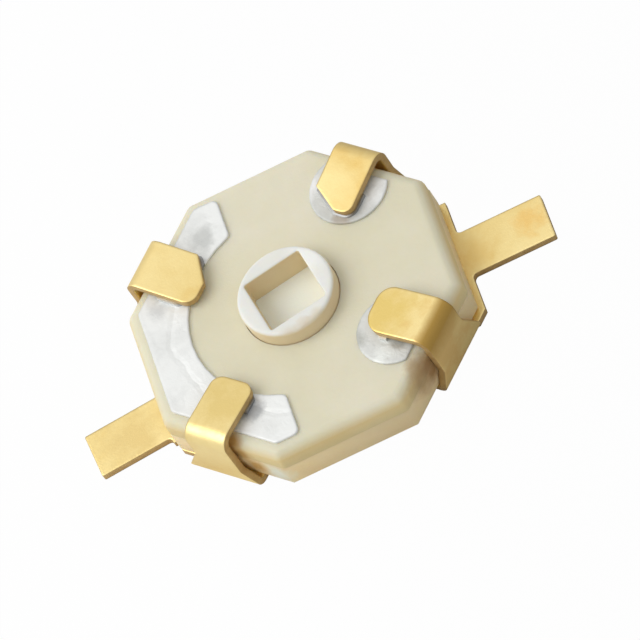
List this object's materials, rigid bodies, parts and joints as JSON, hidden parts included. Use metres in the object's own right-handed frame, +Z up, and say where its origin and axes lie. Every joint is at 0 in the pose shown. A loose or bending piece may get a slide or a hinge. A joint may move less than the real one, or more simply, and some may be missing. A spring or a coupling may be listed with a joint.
{
  "type": "rotary ceramic trimmer capacitor",
  "caption": "Flat octagonal ceramic rotary trimmer capacitor with a square tuning socket in a turning boss, folded gold-plated clip terminals and flat ribbon leads.",
  "frame": {"origin": "middle of the underside, on the rotor's axis, in the plane of the terminals' lower faces", "axes": "+X along the ribbon leads towards the rotor terminal's lead, +Z up along the rotor's axis out of the tuning socket"},
  "size_m": [0.008, 0.005, 0.0013],
  "materials": {
    "housing_ceramic": "matt fired ceramic",
    "stator_ceramic": "matt fired ceramic",
    "rotor_ceramic": "matt fired ceramic",
    "silver_film": "matt fired silver",
    "gold_plate": "satin gold plating",
    "spring_metal": "bright spring alloy",
    "solder": "dull solder"
  },
  "bodies": {
    "body": {"housing": "housing_ceramic", "stator_plate": "stator_ceramic", "stator_electrode": "silver_film", "rear_pad": "silver_film", "front_pad": "silver_film", "spring_washer": "spring_metal", "rotor_terminal": "gold_plate", "stator_terminal": "gold_plate", "rotor_front_solder": "solder", "rotor_rear_solder": "solder", "stator_front_solder": "solder", "stator_rear_solder": "solder"},
    "rotor": {"rotor": "rotor_ceramic", "rotor_electrode": "silver_film"}
  },
  "joints": [
    {"name": "rotor_turn", "type": "hinge", "parent": "body", "child": "rotor", "pos_m": [0, 0, 0.0006], "axis": [0, 0, 1], "continuous": true}
  ]
}
